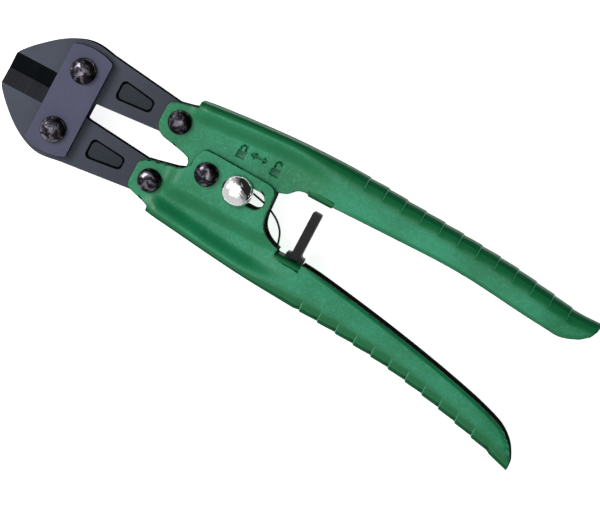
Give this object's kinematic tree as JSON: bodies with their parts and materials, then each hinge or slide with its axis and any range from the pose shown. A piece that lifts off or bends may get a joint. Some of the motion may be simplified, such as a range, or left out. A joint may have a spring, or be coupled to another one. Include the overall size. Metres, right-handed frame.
{
  "type": "bolt cutters",
  "caption": "Hand-held compound-lever bolt cutters with pressed steel grips, pivoting blades under link plates, an opening spring and a sliding lock.",
  "frame": {"origin": "centre of the pivot rivet's flat rear head, on the plane that the tool lies on", "axes": "+X from the jaws towards the grips along the tool, +Y towards the handle without the lock slot, +Z along the pivots towards the lock button"},
  "size_m": [0.2106, 0.0634, 0.022],
  "materials": {
    "green_paint": "satin crinkle paint",
    "black_steel": "black oxide, satin",
    "grey_steel": "dark grey, satin",
    "rivet_steel": "black, glossy",
    "washer_steel": "zinc plated",
    "chrome": "polished",
    "spring_steel": "oiled",
    "black_nylon": "matte"
  },
  "bodies": {
    "lower_handle": {"lower_handle": "green_paint", "lower_lug_rivet": "rivet_steel", "lower_lug_washer": "washer_steel", "pivot_rivet": "rivet_steel", "pivot_washer": "washer_steel", "spring_bush": "washer_steel", "torsion_spring": "spring_steel", "stop_post": "black_nylon", "stop_screw": "rivet_steel"},
    "upper_handle": {"upper_handle": "green_paint", "upper_lug_rivet": "rivet_steel", "upper_lug_washer": "washer_steel"},
    "upper_jaw": {"upper_jaw": "black_steel"},
    "lower_jaw": {"lower_jaw": "black_steel"},
    "link_plates": {"front_link_plate": "grey_steel", "rear_link_plate": "grey_steel", "upper_link_rivet": "rivet_steel", "upper_link_washer": "washer_steel", "lower_link_rivet": "rivet_steel", "lower_link_washer": "washer_steel"},
    "lock": {"lock_button": "chrome", "lock_stud": "washer_steel", "lock_keeper_washer": "washer_steel", "lock_wave_washer": "spring_steel"}
  },
  "joints": [
    {"name": "handle_pivot", "type": "hinge", "parent": "lower_handle", "child": "upper_handle", "pos_m": [0, 0, 0.0101], "axis": [0, 0, 1], "range_deg": [0, 25], "deforming": ["torsion_spring"]},
    {"name": "upper_jaw_pivot", "type": "hinge", "parent": "upper_handle", "child": "upper_jaw", "pos_m": [-0.0157, 0.0107, 0.0101], "axis": [0, 0, 1], "range_deg": [-18.4, 0]},
    {"name": "lower_jaw_pivot", "type": "hinge", "parent": "lower_handle", "child": "lower_jaw", "pos_m": [-0.0157, -0.0107, 0.0101], "axis": [0, 0, 1], "range_deg": [0, 18.4]},
    {"name": "link_plate_pivot", "type": "hinge", "parent": "lower_jaw", "child": "link_plates", "pos_m": [-0.0512, -0.0107, 0.0101], "axis": [0, 0, 1], "range_deg": [-5.9, 0]},
    {"name": "lock_slide", "type": "slide", "parent": "lower_handle", "child": "lock", "axis": [1, 0, 0], "range_m": [-0.0013, 0.0065]}
  ],
  "couplings": [
    {"joint": "upper_jaw_pivot", "follows": "handle_pivot", "ratio": -0.735},
    {"joint": "lower_jaw_pivot", "follows": "handle_pivot", "ratio": 0.735},
    {"joint": "link_plate_pivot", "follows": "handle_pivot", "ratio": -0.235}
  ]
}
